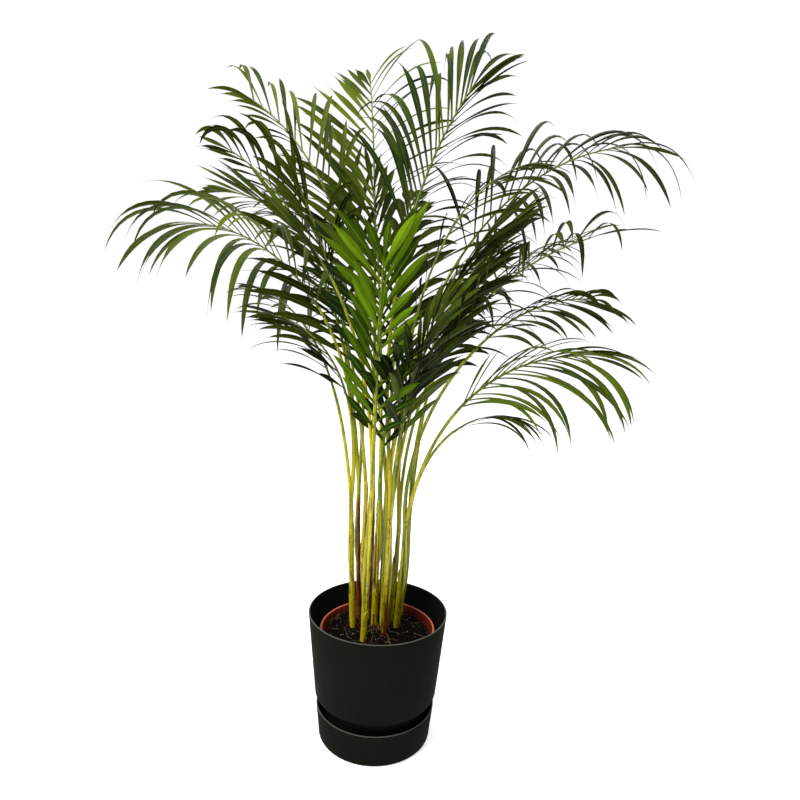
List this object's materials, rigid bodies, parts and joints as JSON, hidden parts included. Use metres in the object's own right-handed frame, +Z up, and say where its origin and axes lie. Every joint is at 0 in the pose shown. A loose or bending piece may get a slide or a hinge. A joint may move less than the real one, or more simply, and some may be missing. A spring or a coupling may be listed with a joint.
{
  "type": "potted palm",
  "caption": "Feather palm: a clump of yellow-green canes with arching fronds in a terracotta nursery pot, set inside a matt charcoal planter that stands on a deep saucer.",
  "frame": {"origin": "centre of the saucer's underside, on the floor", "axes": "+Z up, +X to the right in the picture, the viewer on the -Y side"},
  "size_m": [1.1244, 0.6727, 1.3545],
  "materials": {
    "charcoal_plastic": "fine matt, moulded",
    "terracotta_plastic": "satin, thin moulded",
    "potting_soil": "loose dark potting mix",
    "cane": "smooth, satin, with papery rings",
    "leaf_deep": "satin leaf",
    "leaf_mid": "satin leaf",
    "leaf_young": "satin young leaf"
  },
  "bodies": {
    "root": {"saucer": "charcoal_plastic", "outer_pot": "charcoal_plastic", "nursery_pot": "terracotta_plastic", "soil": "potting_soil", "cane_01": "cane", "cane_02": "cane", "cane_03": "cane", "cane_04": "cane", "cane_05": "cane", "cane_06": "cane", "cane_07": "cane", "cane_08": "cane", "cane_09": "cane", "cane_10": "cane", "cane_11": "cane", "cane_12": "cane", "frond_01": "leaf_mid", "frond_02": "leaf_mid", "frond_03": "leaf_deep", "frond_04": "leaf_mid", "frond_05": "leaf_mid", "frond_06": "leaf_deep", "frond_07": "leaf_young", "frond_08": "leaf_mid", "frond_09": "leaf_deep", "frond_10": "leaf_deep", "frond_11": "leaf_deep", "frond_12": "leaf_mid", "frond_13": "leaf_deep", "frond_14": "leaf_deep", "frond_15": "leaf_deep", "frond_16": "leaf_deep", "frond_17": "leaf_deep", "frond_18": "leaf_mid", "frond_19": "leaf_deep", "frond_20": "leaf_deep", "frond_21": "leaf_deep", "frond_22": "leaf_deep", "frond_23": "leaf_young", "frond_24": "leaf_mid", "frond_25": "leaf_deep", "frond_26": "leaf_deep", "frond_27": "leaf_deep", "frond_28": "leaf_deep"}
  },
  "joints": []
}
